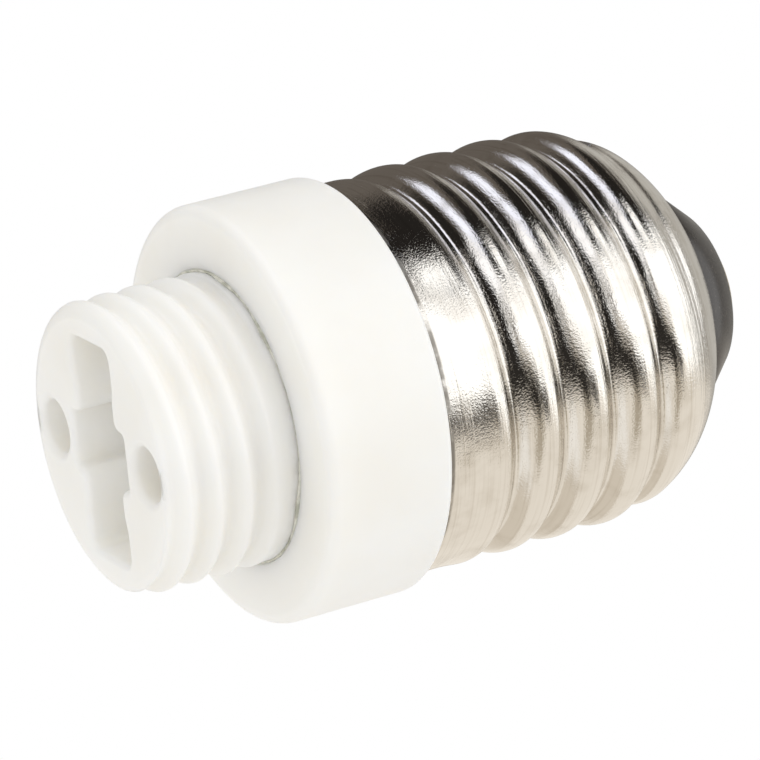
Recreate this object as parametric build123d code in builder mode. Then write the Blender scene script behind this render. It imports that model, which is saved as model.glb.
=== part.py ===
from build123d import *
import os
from math import acos, degrees, sin, radians

# Lamp socket adapter: a screw cap for a large lamp holder behind a capsule-lamp socket.
# It stands on its socket nose. The axis is Z, the nose's front face lies at z = 0, and the
# lamp's flat pinch goes in along +Z with its width along X. All sizes are in millimetres.

# Stack along the axis
NOSE_LENGTH = 9.1
COLLAR_LENGTH = 8.8
BAND_LENGTH = 3.4
THREAD_LENGTH = 13.5

# Fits between pieces
SLIDE_FIT = 0.05
LOOSE_FIT = 0.1
WIRE_FIT = 0.02

# White collar and its spigot
COLLAR_RADIUS = 13.75
COLLAR_FRONT_EDGE = 0.5
COLLAR_REAR_EDGE = 0.4
NOSE_BORE_RADIUS = 9.65
FRONT_WALL = 3.0
SEAT_WIDTH = 0.75
SPIGOT_LENGTH = 11.5

# Screw cap, round thread of 7 turns to the inch
SHEET = 0.3
PITCH = 25.4 / 7
CREST_RADIUS = 13.13
THREAD_DEPTH = 0.93
BAND_RADIUS = 12.95
BAND_RAMP = 1.7
RIDGE_HALF_BASE = 1.5
RIDGE_HALF_MIDDLE = 0.85
RIDGE_HALF_CREST = 0.3
RIDGE_SINK = 0.2
RIDGE_EASE = 0.05
FADE_IN_DROP = 0.5
FADE_IN_DEPTH = 2.2
FADE_IN_RISE = 2.1
FADE_OUT_DROP = 0.4
FADE_OUT_DEPTH = 2.0
FADE_OUT_RISE = 4.4
FIRST_CREST = 0.84
THREAD_TURNS = 6
DOME_RADIUS = 6.0
RIM_RADIUS = 8.6

# Threaded nose and the body of the insert
NOSE_PITCH = 2.1
NOSE_CREST_RADIUS = 9.6
NOSE_THREAD_DEPTH = 0.65
NOSE_EDGE = 1.0
NOSE_HALF_BASE = 0.88
NOSE_HALF_CREST = 0.34
NOSE_SINK = 0.2
NOSE_THREAD_START = -1.93
NOSE_THREAD_TURN = 68.6
NOSE_TURNS = 5.7
NECK_FIT = 0.15
NECK_LENGTH = 1.1
NECK_RAMP = 0.8
FLANGE_THICKNESS = 2.0
INSERT_LENGTH = 18.8

# Lamp slot, seen from the front: a long slot, wider in its middle and a little at its ends
SLOT_LENGTH = 14.4
SLOT_WIDTH = 4.8
SLOT_DEPTH = 6.5
SLOT_CORNER = 0.8
SLOT_MIDDLE_LENGTH = 3.8
SLOT_MIDDLE_WIDTH = 7.2
SLOT_END_LENGTH = 3.0
SLOT_END_STEP = 0.25
SLOT_LIP = 0.3

# Contacts, 9 mm apart, in chambers behind the slot's floor
CONTACT_PITCH = 9.0
CHAMBER_LENGTH = 5.0
CHAMBER_WIDTH = 3.4
CLIP_STRIP = 0.35
CLIP_WIDTH = 3.6
CLIP_SIDE_GAP = 0.15
CLIP_THROAT = 0.3
CLIP_MOUTH = 0.95
CLIP_MOUTH_SETBACK = 0.6
CLIP_THROAT_SETBACK = 2.4
CLIP_ELBOW_SETBACK = 6.2
TAIL_WIDTH = 2.2
BARREL_OUTER = 0.85
BARREL_LENGTH = 2.4
BARREL_RISE = 0.6
BARREL_LAP = 0.2

# Back cover and its two rivets
COVER_THICKNESS = 1.6
RIVET_SPREAD = 6.4
RIVET_RADIUS = 1.2
RIVET_HEAD_RADIUS = 1.6
RIVET_HEAD_HEIGHT = 0.5
RIVET_RECESS_RADIUS = 1.8
RIVET_RECESS_DEPTH = 3.0

# Bonding compound behind the insert's flange
BEAD_WIDTH = 0.8
BEAD_HEIGHT = 1.4
BEAD_SLOPE = 0.5

# Black insulator and centre contact
INSULATOR_FLANGE_RADIUS = 10.4
INSULATOR_FLANGE_RISE = 3.2
INSULATOR_NECK_GAP = 0.15
INSULATOR_SHOULDER = 0.12
INSULATOR_HEIGHT = 3.7
INSULATOR_END_RADIUS = 5.2
INSULATOR_EDGE = 0.6
INSULATOR_BOSS_RADIUS = 2.9
INSULATOR_RECESS_RADIUS = 7.0
INSULATOR_RECESS_TOP = 4.2
INSULATOR_END_WALL = 2.1
CONTACT_RADIUS = 4.4
CONTACT_EDGE = 0.35
CONTACT_HEIGHT = 0.6
CONTACT_FLAT = 2.2
EYELET_RADIUS = 1.5
EYELET_BORE = 0.75
EYELET_FOOT_RADIUS = 2.4
EYELET_FOOT = 0.3
TIP_SOLDER_RADIUS = 2.0
TIP_SOLDER_HEIGHT = 0.6

# Leads
CORE_RADIUS = 0.5
SLEEVE_RADIUS = 0.95
TIP_LEAD_RUN = 3.0
TIP_LEAD_CROSSING = 6.5
TIP_SLEEVE_STOP = 0.6
SHELL_LEAD_SETBACK = 0.75
SHELL_LEAD_OFFSET = 0.75
SHELL_LEAD_END = 2.6
SHELL_SLEEVE_RUN = 4.0
SHELL_SOLDER_RADIUS = 1.6
SHELL_SOLDER_FOOT = 0.7
SHELL_SOLDER_TAPER = 18

# Heights that follow from the stack
collar_rear = NOSE_LENGTH + COLLAR_LENGTH
band_end = collar_rear + BAND_LENGTH
dome_start = band_end + THREAD_LENGTH
seat = NOSE_LENGTH + FRONT_WALL
flange_rear = seat + FLANGE_THICKNESS
cover_rear = INSERT_LENGTH + COVER_THICKNESS
spigot_end = collar_rear + SPIGOT_LENGTH

# The turned-in end of the cap is an arc about this centre in the half section
dome_centre = CREST_RADIUS - DOME_RADIUS
rim_angle = degrees(acos((RIM_RADIUS - dome_centre) / DOME_RADIUS))
rim_height = dome_start + DOME_RADIUS * sin(radians(rim_angle))
insulator_top = rim_height + INSULATOR_HEIGHT
foot_height = dome_start + INSULATOR_FLANGE_RISE
contact_top = insulator_top + CONTACT_HEIGHT

# Radii that follow from the fits
root_radius = CREST_RADIUS - THREAD_DEPTH
shell_bore = root_radius - SHEET
spigot_radius = BAND_RADIUS - SHEET - SLIDE_FIT
cavity_radius = NOSE_BORE_RADIUS + SEAT_WIDTH
flange_radius = cavity_radius - LOOSE_FIT
neck_radius = NOSE_BORE_RADIUS - NECK_FIT
nose_root_radius = NOSE_CREST_RADIUS - NOSE_THREAD_DEPTH
insert_rear_radius = cavity_radius - BEAD_WIDTH
eyelet_hole = EYELET_RADIUS + SLIDE_FIT
barrel_bore = CORE_RADIUS + WIRE_FIT
rivet_hole = RIVET_RADIUS + SLIDE_FIT
contact_x = CONTACT_PITCH / 2
barrel_start = cover_rear + BARREL_RISE
tail_end = barrel_start + BARREL_LAP
barrel_end = barrel_start + BARREL_LENGTH
lead_turn = barrel_end + TIP_LEAD_RUN
shell_lead_radius = shell_bore - SHELL_LEAD_OFFSET
shell_lead_rise = dome_start - SHELL_LEAD_SETBACK
shell_lead_turn = shell_lead_rise - shell_lead_radius + contact_x


def helical_ridge(pitch, turns, start, root, section):
    """A right-hand ridge round the Z axis; its section lists height over the root and half width."""
    with BuildPart() as ridge:
        with BuildLine() as path:
            Helix(pitch, pitch * turns, root, center=(0, 0, start))
        with BuildSketch(Plane(origin=(root, 0, start), x_dir=(1, 0, 0), z_dir=(0, -1, 0))):
            with BuildLine():
                lower = [(height, -half) for height, half in section]
                upper = [(height, half) for height, half in reversed(section)]
                Polyline(*lower, *upper, close=True)
            make_face()
        sweep(path=path.wire(), is_frenet=True)
    return ridge.part


def cap_fade():
    """The turned space that the cap's ridge fades out in, at the band and on the turned-in end."""
    reach = CREST_RADIUS + RIDGE_EASE
    with BuildPart() as fade:
        with BuildSketch(Plane.XZ):
            with BuildLine():
                Polyline(
                    (0, band_end - FADE_IN_DROP),
                    (reach - FADE_IN_DEPTH, band_end - FADE_IN_DROP),
                    (reach, band_end + FADE_IN_RISE),
                    (reach, dome_start + FADE_OUT_DROP),
                    (reach - FADE_OUT_DEPTH, dome_start + FADE_OUT_RISE),
                    (0, dome_start + FADE_OUT_RISE),
                    close=True,
                )
            make_face()
        revolve(axis=Axis.Z)
    return fade.part


# Screw cap: thin sheet with a plain band, a rolled thread that fades out at both ends, and an end
# turned in over the insulator. The thread is the feature that takes most skill.
crest_height = CREST_RADIUS - root_radius
middle_height = 0.55 * crest_height
thread_start = band_end + FIRST_CREST - PITCH
outer_section = (
    (-RIDGE_SINK, RIDGE_HALF_BASE),
    (middle_height, RIDGE_HALF_MIDDLE),
    (crest_height, RIDGE_HALF_CREST),
)

with BuildPart() as outer_ridge:
    add(helical_ridge(PITCH, THREAD_TURNS, thread_start, root_radius, outer_section))
    add(cap_fade(), mode=Mode.INTERSECT)

with BuildPart() as screw_shell:
    with BuildSketch(Plane.XZ):
        with BuildLine():
            root_angle = degrees(acos((root_radius - dome_centre) / DOME_RADIUS))
            dome = CenterArc((dome_centre, dome_start), DOME_RADIUS, root_angle, rim_angle - root_angle)
            Polyline(
                dome @ 0,
                (root_radius, band_end + BAND_RAMP),
                (BAND_RADIUS, band_end),
                (BAND_RADIUS, collar_rear),
                (0, collar_rear),
                (0, rim_height),
                dome @ 1,
            )
        make_face()
    revolve(axis=Axis.Z)
    add(outer_ridge.part)
    with BuildSketch(Plane.XZ):
        with BuildLine():
            inside = DOME_RADIUS - SHEET
            bore_angle = degrees(acos((shell_bore - dome_centre) / inside))
            with BuildLine(mode=Mode.PRIVATE):
                dome = CenterArc((dome_centre, dome_start), inside, bore_angle, rim_angle - bore_angle)
            Polyline(
                (0, collar_rear - 1),
                (BAND_RADIUS - SHEET, collar_rear - 1),
                (BAND_RADIUS - SHEET, band_end),
                (shell_bore, band_end + BAND_RAMP),
                dome @ 0,
                dome @ 0.5,
                dome @ 1,
                ((dome @ 1).X, rim_height + 1),
                (0, rim_height + 1),
                close=True,
            )
        make_face()
    revolve(axis=Axis.Z, mode=Mode.SUBTRACT)

# Collar: one moulding with the nose bore in front, the wiring cavity behind and the cap's spigot
with BuildPart() as collar_housing:
    with BuildSketch(Plane.XZ):
        with BuildLine():
            Polyline(
                (NOSE_BORE_RADIUS, NOSE_LENGTH),
                (COLLAR_RADIUS - COLLAR_FRONT_EDGE, NOSE_LENGTH),
                (COLLAR_RADIUS, NOSE_LENGTH + COLLAR_FRONT_EDGE),
                (COLLAR_RADIUS, collar_rear - COLLAR_REAR_EDGE),
                (COLLAR_RADIUS - COLLAR_REAR_EDGE, collar_rear),
                (spigot_radius, collar_rear),
                (spigot_radius, band_end - LOOSE_FIT),
                (shell_bore - SLIDE_FIT, band_end + BAND_RAMP - LOOSE_FIT),
                (shell_bore - SLIDE_FIT, spigot_end),
                (cavity_radius, spigot_end),
                (cavity_radius, seat),
                (NOSE_BORE_RADIUS, seat),
                close=True,
            )
        make_face()
    revolve(axis=Axis.Z)

# Insert: the threaded nose, a neck in the collar's bore, a seating flange and the contact block
neck_start = NOSE_LENGTH - NECK_LENGTH
nose_section = (
    (-NOSE_SINK, NOSE_HALF_BASE),
    (NOSE_CREST_RADIUS - nose_root_radius, NOSE_HALF_CREST),
)

with BuildPart() as nose_ridge:
    add(helical_ridge(NOSE_PITCH, NOSE_TURNS, NOSE_THREAD_START, nose_root_radius, nose_section))
    with BuildSketch(Plane.XZ):
        with BuildLine():
            ridge_reach = NOSE_CREST_RADIUS + RIDGE_EASE
            Polyline(
                (0, NOSE_EDGE / 10),
                (ridge_reach - 1.2 * NOSE_EDGE, NOSE_EDGE / 10),
                (ridge_reach, NOSE_EDGE),
                (ridge_reach, neck_start - NECK_RAMP),
                (nose_root_radius - 2 * NOSE_SINK, neck_start + NOSE_SINK),
                (0, neck_start + NOSE_SINK),
                close=True,
            )
        make_face()
    revolve(axis=Axis.Z, mode=Mode.INTERSECT)

with BuildPart() as nose_body:
    with BuildSketch(Plane.XZ):
        with BuildLine():
            front = NOSE_CREST_RADIUS - NOSE_EDGE
            Polyline(
                (0, 0),
                (front, 0),
                (nose_root_radius, nose_root_radius - front),
                (nose_root_radius, neck_start - NECK_RAMP),
                (neck_radius, neck_start),
                (neck_radius, seat),
                (flange_radius, seat),
                (flange_radius, flange_rear),
                (insert_rear_radius, flange_rear),
                (insert_rear_radius, INSERT_LENGTH),
                (0, INSERT_LENGTH),
                close=True,
            )
        make_face()
    revolve(axis=Axis.Z)
    add(nose_ridge.part)

# Half lengths and half widths of the slot's zones; each long edge has a small lip
waist_reach = SLOT_LENGTH / 2 - SLOT_END_LENGTH
slot_waist = SLOT_WIDTH / 2 + SLOT_END_STEP / 2
slot_zones = (
    (SLOT_LENGTH / 2 - SLOT_CORNER, SLOT_WIDTH / 2 + SLOT_END_STEP),
    (SLOT_MIDDLE_LENGTH / 2 - SLOT_CORNER, SLOT_MIDDLE_WIDTH / 2),
)

with BuildPart() as socket_insert:
    add(nose_body.part.rotate(Axis.Z, NOSE_THREAD_TURN))
    with BuildSketch(Plane.XY):
        RectangleRounded(SLOT_LENGTH, SLOT_WIDTH + 2 * SLOT_END_STEP, SLOT_CORNER)
        with Locations((0, slot_waist), (0, -slot_waist)):
            Rectangle(2 * waist_reach, SLOT_END_STEP, mode=Mode.SUBTRACT)
        RectangleRounded(SLOT_MIDDLE_LENGTH, SLOT_MIDDLE_WIDTH, SLOT_CORNER)
    extrude(amount=SLOT_DEPTH, mode=Mode.SUBTRACT)
    with BuildSketch(Plane.XY.offset(SLOT_DEPTH)):
        with Locations((contact_x, 0), (-contact_x, 0)):
            Rectangle(CHAMBER_LENGTH, CHAMBER_WIDTH)
    extrude(amount=INSERT_LENGTH - SLOT_DEPTH, mode=Mode.SUBTRACT)
    with BuildSketch(Plane.XY):
        with Locations((0, RIVET_SPREAD), (0, -RIVET_SPREAD)):
            Circle(RIVET_RECESS_RADIUS)
    extrude(amount=RIVET_RECESS_DEPTH, mode=Mode.SUBTRACT)
    with BuildSketch(Plane.XY.offset(RIVET_RECESS_DEPTH)):
        with Locations((0, RIVET_SPREAD), (0, -RIVET_SPREAD)):
            Circle(rivet_hole)
    extrude(amount=INSERT_LENGTH - RIVET_RECESS_DEPTH, mode=Mode.SUBTRACT)
    for reach, half_width in slot_zones:
        with BuildSketch(Plane.YZ):
            with BuildLine():
                Polyline(
                    (half_width, 0),
                    (half_width + SLOT_LIP, 0),
                    (half_width, SLOT_LIP),
                    close=True,
                )
            make_face()
            mirror(about=Plane.YZ)
        extrude(amount=reach, both=True, mode=Mode.SUBTRACT)

# Contact clip: a strip folded to two leaves that narrow to a throat, with a tail and crimp barrel
clip_half = CHAMBER_WIDTH / 2 - CLIP_SIDE_GAP
with BuildPart() as contact_clip:
    with BuildSketch(Plane.YZ.offset(contact_x)):
        with BuildLine():
            Polyline(
                (CLIP_MOUTH, SLOT_DEPTH + CLIP_MOUTH_SETBACK),
                (CLIP_THROAT + CLIP_STRIP, SLOT_DEPTH + CLIP_THROAT_SETBACK),
                (clip_half, SLOT_DEPTH + CLIP_ELBOW_SETBACK),
                (clip_half, INSERT_LENGTH),
                (-clip_half, INSERT_LENGTH),
                (-clip_half, SLOT_DEPTH + CLIP_ELBOW_SETBACK),
                (-CLIP_THROAT - CLIP_STRIP, SLOT_DEPTH + CLIP_THROAT_SETBACK),
                (-CLIP_MOUTH, SLOT_DEPTH + CLIP_MOUTH_SETBACK),
            )
            offset(amount=CLIP_STRIP, side=Side.LEFT)
        make_face()
    extrude(amount=CLIP_WIDTH / 2, both=True)
    with BuildSketch(Plane.XY.offset(INSERT_LENGTH - CLIP_STRIP)):
        with Locations((contact_x, 0)):
            Rectangle(TAIL_WIDTH, CLIP_STRIP)
    extrude(amount=tail_end - INSERT_LENGTH + CLIP_STRIP)
    with BuildSketch(Plane.XY.offset(barrel_start)):
        with Locations((contact_x, 0)):
            Circle(BARREL_OUTER)
    extrude(amount=BARREL_LENGTH)
    with BuildSketch(Plane.XY.offset(tail_end)):
        with Locations((contact_x, 0)):
            Circle(barrel_bore)
    extrude(amount=BARREL_LENGTH, mode=Mode.SUBTRACT)

with BuildPart() as contact_clip_opposite:
    add(contact_clip.part.rotate(Axis.Z, 180))

# Back cover: a plate with a passage for each tail and a hole for each rivet
with BuildPart() as contact_cover:
    with BuildSketch(Plane.XY.offset(INSERT_LENGTH)):
        Circle(insert_rear_radius)
        with Locations((contact_x, 0), (-contact_x, 0)):
            Rectangle(TAIL_WIDTH + 4 * LOOSE_FIT, CLIP_STRIP + 4 * LOOSE_FIT, mode=Mode.SUBTRACT)
        with Locations((0, RIVET_SPREAD), (0, -RIVET_SPREAD)):
            Circle(rivet_hole, mode=Mode.SUBTRACT)
    extrude(amount=COVER_THICKNESS)

# Rivets: a head in each front recess, a flared tail behind the cover
with BuildPart() as cover_rivets:
    with BuildSketch(Plane.XY.offset(RIVET_RECESS_DEPTH - RIVET_HEAD_HEIGHT)):
        with Locations((0, RIVET_SPREAD), (0, -RIVET_SPREAD)):
            Circle(RIVET_HEAD_RADIUS)
    extrude(amount=RIVET_HEAD_HEIGHT)
    with BuildSketch(Plane.XY.offset(RIVET_RECESS_DEPTH)):
        with Locations((0, RIVET_SPREAD), (0, -RIVET_SPREAD)):
            Circle(RIVET_RADIUS)
    extrude(amount=cover_rear - RIVET_RECESS_DEPTH)
    with BuildSketch(Plane.XY.offset(cover_rear)):
        with Locations((0, RIVET_SPREAD), (0, -RIVET_SPREAD)):
            Circle(RIVET_HEAD_RADIUS)
    extrude(amount=RIVET_HEAD_HEIGHT)

# Bonding compound: a sloped ring in the gap behind the insert's flange
with BuildPart() as bond_bead:
    with BuildSketch(Plane.XZ):
        with BuildLine():
            Polyline(
                (insert_rear_radius + WIRE_FIT, flange_rear),
                (cavity_radius - WIRE_FIT, flange_rear),
                (cavity_radius - WIRE_FIT, flange_rear + BEAD_HEIGHT),
                (insert_rear_radius + WIRE_FIT, flange_rear + BEAD_HEIGHT - BEAD_SLOPE),
                close=True,
            )
        make_face()
    revolve(axis=Axis.Z)

# Insulator: a cone outside the cap's rim, a neck through it and a flange that follows the dome
with BuildPart() as tip_insulator:
    with BuildSketch(Plane.XZ):
        with BuildLine():
            inside = DOME_RADIUS - SHEET - SLIDE_FIT
            neck = RIM_RADIUS - INSULATOR_NECK_GAP
            flange_turn = degrees(acos((INSULATOR_FLANGE_RADIUS - dome_centre) / inside))
            neck_turn = degrees(acos((neck - dome_centre) / inside))
            Polyline(
                (neck, dome_start + inside * sin(radians(neck_turn))),
                (neck, rim_height + INSULATOR_SHOULDER),
                (INSULATOR_END_RADIUS, insulator_top),
                (eyelet_hole, insulator_top),
                (eyelet_hole, foot_height),
                (INSULATOR_BOSS_RADIUS, foot_height),
                (INSULATOR_BOSS_RADIUS, insulator_top - INSULATOR_END_WALL),
                (INSULATOR_RECESS_TOP, insulator_top - INSULATOR_END_WALL),
                (INSULATOR_RECESS_RADIUS, foot_height),
                (INSULATOR_FLANGE_RADIUS, foot_height),
                (INSULATOR_FLANGE_RADIUS, dome_start + inside * sin(radians(flange_turn))),
                close=True,
            )
        make_face()
    revolve(axis=Axis.Z)
    end_circles = tip_insulator.edges().filter_by(GeomType.CIRCLE).group_by(Axis.Z)[-1]
    fillet(end_circles.sort_by(SortBy.RADIUS)[-1], INSULATOR_EDGE)

# Centre contact: a disc on the insulator's end with an eyelet shank clinched behind the boss
with BuildPart() as centre_contact:
    with BuildSketch(Plane.XZ):
        with BuildLine():
            Polyline(
                (EYELET_BORE, foot_height - EYELET_FOOT),
                (EYELET_FOOT_RADIUS, foot_height - EYELET_FOOT),
                (EYELET_FOOT_RADIUS, foot_height),
                (EYELET_RADIUS, foot_height),
                (EYELET_RADIUS, insulator_top),
                (CONTACT_RADIUS, insulator_top),
                (CONTACT_RADIUS, insulator_top + CONTACT_EDGE),
                (CONTACT_FLAT, contact_top),
                (EYELET_BORE, contact_top),
                close=True,
            )
        make_face()
    revolve(axis=Axis.Z)

# Solder bead over the end of the centre lead: a low spherical cap
bead_radius = (TIP_SOLDER_RADIUS**2 + TIP_SOLDER_HEIGHT**2) / (2 * TIP_SOLDER_HEIGHT)
bead_centre = contact_top + TIP_SOLDER_HEIGHT - bead_radius
bead_angle = degrees(acos(TIP_SOLDER_RADIUS / bead_radius))
with BuildPart() as tip_solder:
    with BuildSketch(Plane.XZ):
        with BuildLine():
            cap = CenterArc((0, bead_centre), bead_radius, bead_angle, 90 - bead_angle)
            Polyline(cap @ 1, (0, contact_top), cap @ 0)
        make_face()
    revolve(axis=Axis.Z)

# Centre lead: from the first clip's barrel to the centre contact, bare at both ends
tip_bends = (
    (contact_x, 0, lead_turn),
    (0, 0, lead_turn + TIP_LEAD_CROSSING),
)
with BuildPart() as tip_lead:
    with BuildLine() as tip_core_path:
        Polyline((contact_x, 0, tail_end), *tip_bends, (0, 0, contact_top))
    with BuildSketch(Plane.XY.offset(tail_end)):
        with Locations((contact_x, 0)):
            Circle(CORE_RADIUS)
    sweep(path=tip_core_path.wire(), transition=Transition.RIGHT)
    with BuildLine() as tip_sleeve_path:
        Polyline(
            (contact_x, 0, barrel_end),
            *tip_bends,
            (0, 0, foot_height - EYELET_FOOT - TIP_SLEEVE_STOP),
        )
    with BuildSketch(Plane.XY.offset(barrel_end)):
        with Locations((contact_x, 0)):
            Circle(SLEEVE_RADIUS)
    sweep(path=tip_sleeve_path.wire(), transition=Transition.RIGHT)

# Shell lead: from the second clip's barrel out to the cap's wall, bare at both ends
shell_turn = (-contact_x, 0, shell_lead_turn)
with BuildPart() as shell_lead:
    with BuildLine() as shell_core_path:
        Polyline(
            (-contact_x, 0, tail_end),
            shell_turn,
            (-shell_lead_radius, 0, shell_lead_rise),
            (-shell_lead_radius, 0, shell_lead_rise + SHELL_LEAD_END),
        )
    with BuildSketch(Plane.XY.offset(tail_end)):
        with Locations((-contact_x, 0)):
            Circle(CORE_RADIUS)
    sweep(path=shell_core_path.wire(), transition=Transition.RIGHT)
    with BuildLine() as shell_sleeve_path:
        Polyline(
            (-contact_x, 0, barrel_end),
            shell_turn,
            (-contact_x - SHELL_SLEEVE_RUN, 0, shell_lead_turn + SHELL_SLEEVE_RUN),
        )
    with BuildSketch(Plane.XY.offset(barrel_end)):
        with Locations((-contact_x, 0)):
            Circle(SLEEVE_RADIUS)
    sweep(path=shell_sleeve_path.wire(), transition=Transition.RIGHT)

# Solder tack: a blunt cone round the lead's end, trimmed to the bore of the cap
with BuildPart() as shell_solder:
    with BuildSketch(Plane.XY.offset(shell_lead_rise + SHELL_SOLDER_FOOT)):
        with Locations((-shell_lead_radius, 0)):
            Circle(SHELL_SOLDER_RADIUS)
    extrude(amount=SHELL_LEAD_END, taper=SHELL_SOLDER_TAPER)
    with BuildSketch(Plane.XY.offset(shell_lead_rise)):
        Circle(shell_bore - WIRE_FIT)
    extrude(amount=2 * SHELL_LEAD_END, mode=Mode.INTERSECT)
    with BuildSketch(Plane.XY.offset(shell_lead_rise)):
        with Locations((-shell_lead_radius, 0)):
            Circle(CORE_RADIUS + WIRE_FIT)
    extrude(amount=SHELL_LEAD_END, mode=Mode.SUBTRACT)

os.makedirs("parts", exist_ok=True)

screw_shell.part.label = "screw_shell"
export_step(screw_shell.part, "parts/screw_shell.step")
collar_housing.part.label = "collar_housing"
export_step(collar_housing.part, "parts/collar_housing.step")
socket_insert.part.label = "socket_insert"
export_step(socket_insert.part, "parts/socket_insert.step")
contact_clip.part.label = "contact_clip_a"
export_step(contact_clip.part, "parts/contact_clip_a.step")
contact_clip_opposite.part.label = "contact_clip_b"
export_step(contact_clip_opposite.part, "parts/contact_clip_b.step")
contact_cover.part.label = "contact_cover"
export_step(contact_cover.part, "parts/contact_cover.step")
cover_rivets.part.label = "cover_rivets"
export_step(cover_rivets.part, "parts/cover_rivets.step")
bond_bead.part.label = "bond_bead"
export_step(bond_bead.part, "parts/bond_bead.step")
tip_insulator.part.label = "tip_insulator"
export_step(tip_insulator.part, "parts/tip_insulator.step")
centre_contact.part.label = "centre_contact"
export_step(centre_contact.part, "parts/centre_contact.step")
tip_solder.part.label = "tip_solder"
export_step(tip_solder.part, "parts/tip_solder.step")
tip_lead.part.label = "tip_lead"
export_step(tip_lead.part, "parts/tip_lead.step")
shell_lead.part.label = "shell_lead"
export_step(shell_lead.part, "parts/shell_lead.step")
shell_solder.part.label = "shell_solder"
export_step(shell_solder.part, "parts/shell_solder.step")
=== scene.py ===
"""Looks of a lamp socket adapter: finishes, smooth meshes, studio and camera.

Everything stands around the adapter's solid model, in the same frame.
"""
import logging
from dataclasses import dataclass
from enum import Enum
from functools import reduce
from math import asin, atan2, ceil, cos, degrees, exp, hypot, pi, radians, sin, sqrt, tau
from operator import add
from typing import Any, Mapping, Sequence, Union

import bmesh
import bpy
from mathutils import Matrix, Vector, noise


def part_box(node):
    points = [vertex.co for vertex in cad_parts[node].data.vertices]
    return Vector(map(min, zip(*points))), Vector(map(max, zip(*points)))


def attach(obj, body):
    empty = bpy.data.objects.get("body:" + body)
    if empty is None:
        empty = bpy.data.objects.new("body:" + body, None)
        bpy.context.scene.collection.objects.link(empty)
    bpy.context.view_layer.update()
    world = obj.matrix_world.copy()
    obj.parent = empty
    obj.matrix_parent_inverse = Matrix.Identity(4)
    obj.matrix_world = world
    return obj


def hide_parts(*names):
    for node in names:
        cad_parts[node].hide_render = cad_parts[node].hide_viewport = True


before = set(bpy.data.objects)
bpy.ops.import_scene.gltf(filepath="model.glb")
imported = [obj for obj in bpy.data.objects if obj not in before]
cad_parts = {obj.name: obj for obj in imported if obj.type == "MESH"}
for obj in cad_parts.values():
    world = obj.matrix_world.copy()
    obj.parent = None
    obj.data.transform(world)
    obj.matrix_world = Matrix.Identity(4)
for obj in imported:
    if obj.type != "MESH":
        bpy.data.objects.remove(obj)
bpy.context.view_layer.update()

log = logging.getLogger("lamp_socket_adapter")

Shape = bmesh.types.BMesh
Face = bmesh.types.BMFace
Edge = bmesh.types.BMEdge
Colour = tuple[float, float, float, float]
Span = tuple[float, float]
Triple = tuple[float, float, float]
Bevel = tuple[float, int]
Settings = Union[Mapping[str, Any], None]
Inputs = Union[Mapping[Union[str, int], Any], None]

MM = 0.001
BODY = "root"
PURE_WHITE: Colour = (1.0, 1.0, 1.0, 1.0)
MERGE_DISTANCE = 1e-7
RING_REACH = 0.004 * MM
PLANE_REACH = 0.001 * MM
ROUND_STEPS = 192
LEVEL_FACE = 0.999
NO_LEVEL_FACE = 2.0


class Rounding(Enum):
    """What a bevel rounds."""

    EDGES = "EDGES"
    CORNERS = "VERTICES"


class Slot(Enum):
    """Names of the material slots that the pieces carry; nothing in this script reads them."""

    WHITE = "white_moulding"
    NICKEL = "nickel_plate"
    BLACK = "black_insulator"
    BOND = "bonding_compound"
    BRASS = "contact_brass"
    SOLDER = "solder"


class Signal:
    """A number that varies over a surface; arithmetic on it adds Math nodes."""

    def __init__(self, sheet: "NodeSheet", socket: bpy.types.NodeSocket) -> None:
        """Keeps the output socket and the sheet that its nodes go to."""
        self.sheet = sheet
        self.socket = socket

    def _math(self, operation: str, other: Any = 0.0) -> "Signal":
        """Adds one Math node, with a number or a signal on the right."""
        return self.sheet.signal("ShaderNodeMath", {"operation": operation}, {0: self, 1: other})

    def __add__(self, other: Any) -> "Signal":
        """Sum."""
        return self._math("ADD", other)

    def __sub__(self, other: Any) -> "Signal":
        """Difference."""
        return self._math("SUBTRACT", other)

    def __mul__(self, other: Any) -> "Signal":
        """Product."""
        return self._math("MULTIPLY", other)

    def __pow__(self, other: Any) -> "Signal":
        """Power."""
        return self._math("POWER", other)

    def size(self) -> "Signal":
        """Absolute value."""
        return self._math("ABSOLUTE")

    def fraction(self) -> "Signal":
        """Part after the decimal point."""
        return self._math("FRACT")

    def step(self, low: float, high: float) -> "Signal":
        """Smooth step from 0 at low to 1 at high; high may be below low."""
        inputs = {"Value": self, "From Min": low, "From Max": high}
        return self.sheet.signal("ShaderNodeMapRange", {"interpolation_type": "SMOOTHSTEP"}, inputs)


@dataclass(frozen=True)
class Grain:
    """Noise over a surface: cells per metre, octaves, and the range that patches stretch."""

    scale: float
    detail: float = 2.0
    spread: Span = (0.0, 1.0)


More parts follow.
